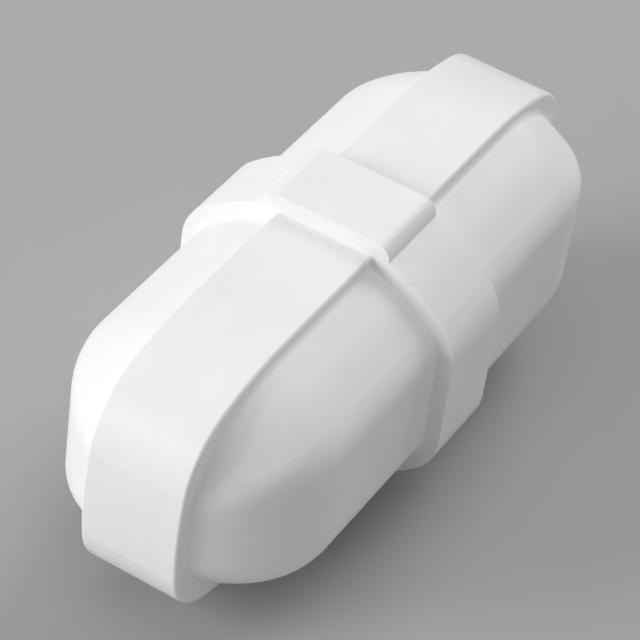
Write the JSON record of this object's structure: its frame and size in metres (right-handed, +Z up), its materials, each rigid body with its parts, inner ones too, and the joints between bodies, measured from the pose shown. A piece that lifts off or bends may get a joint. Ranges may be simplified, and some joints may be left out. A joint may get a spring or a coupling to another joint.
{
  "type": "magnetic stir bar",
  "caption": "Eight-sided white PTFE magnetic stir bar with a raised band along it, rounded ends and a pivot ring round its middle.",
  "frame": {"origin": "centre of the bar, which is the middle of the magnet and of the pivot ring", "axes": "+X along the bar, +Y across it towards a flat side face, +Z up out of the band that lies uppermost"},
  "size_m": [0.02, 0.0088, 0.0086],
  "materials": {
    "ptfe": "smooth white PTFE, faintly waxy",
    "magnet_alloy": "bare cast and ground magnet alloy"
  },
  "bodies": {
    "root": {"jacket": "ptfe", "bar_magnet": "magnet_alloy"}
  },
  "joints": []
}
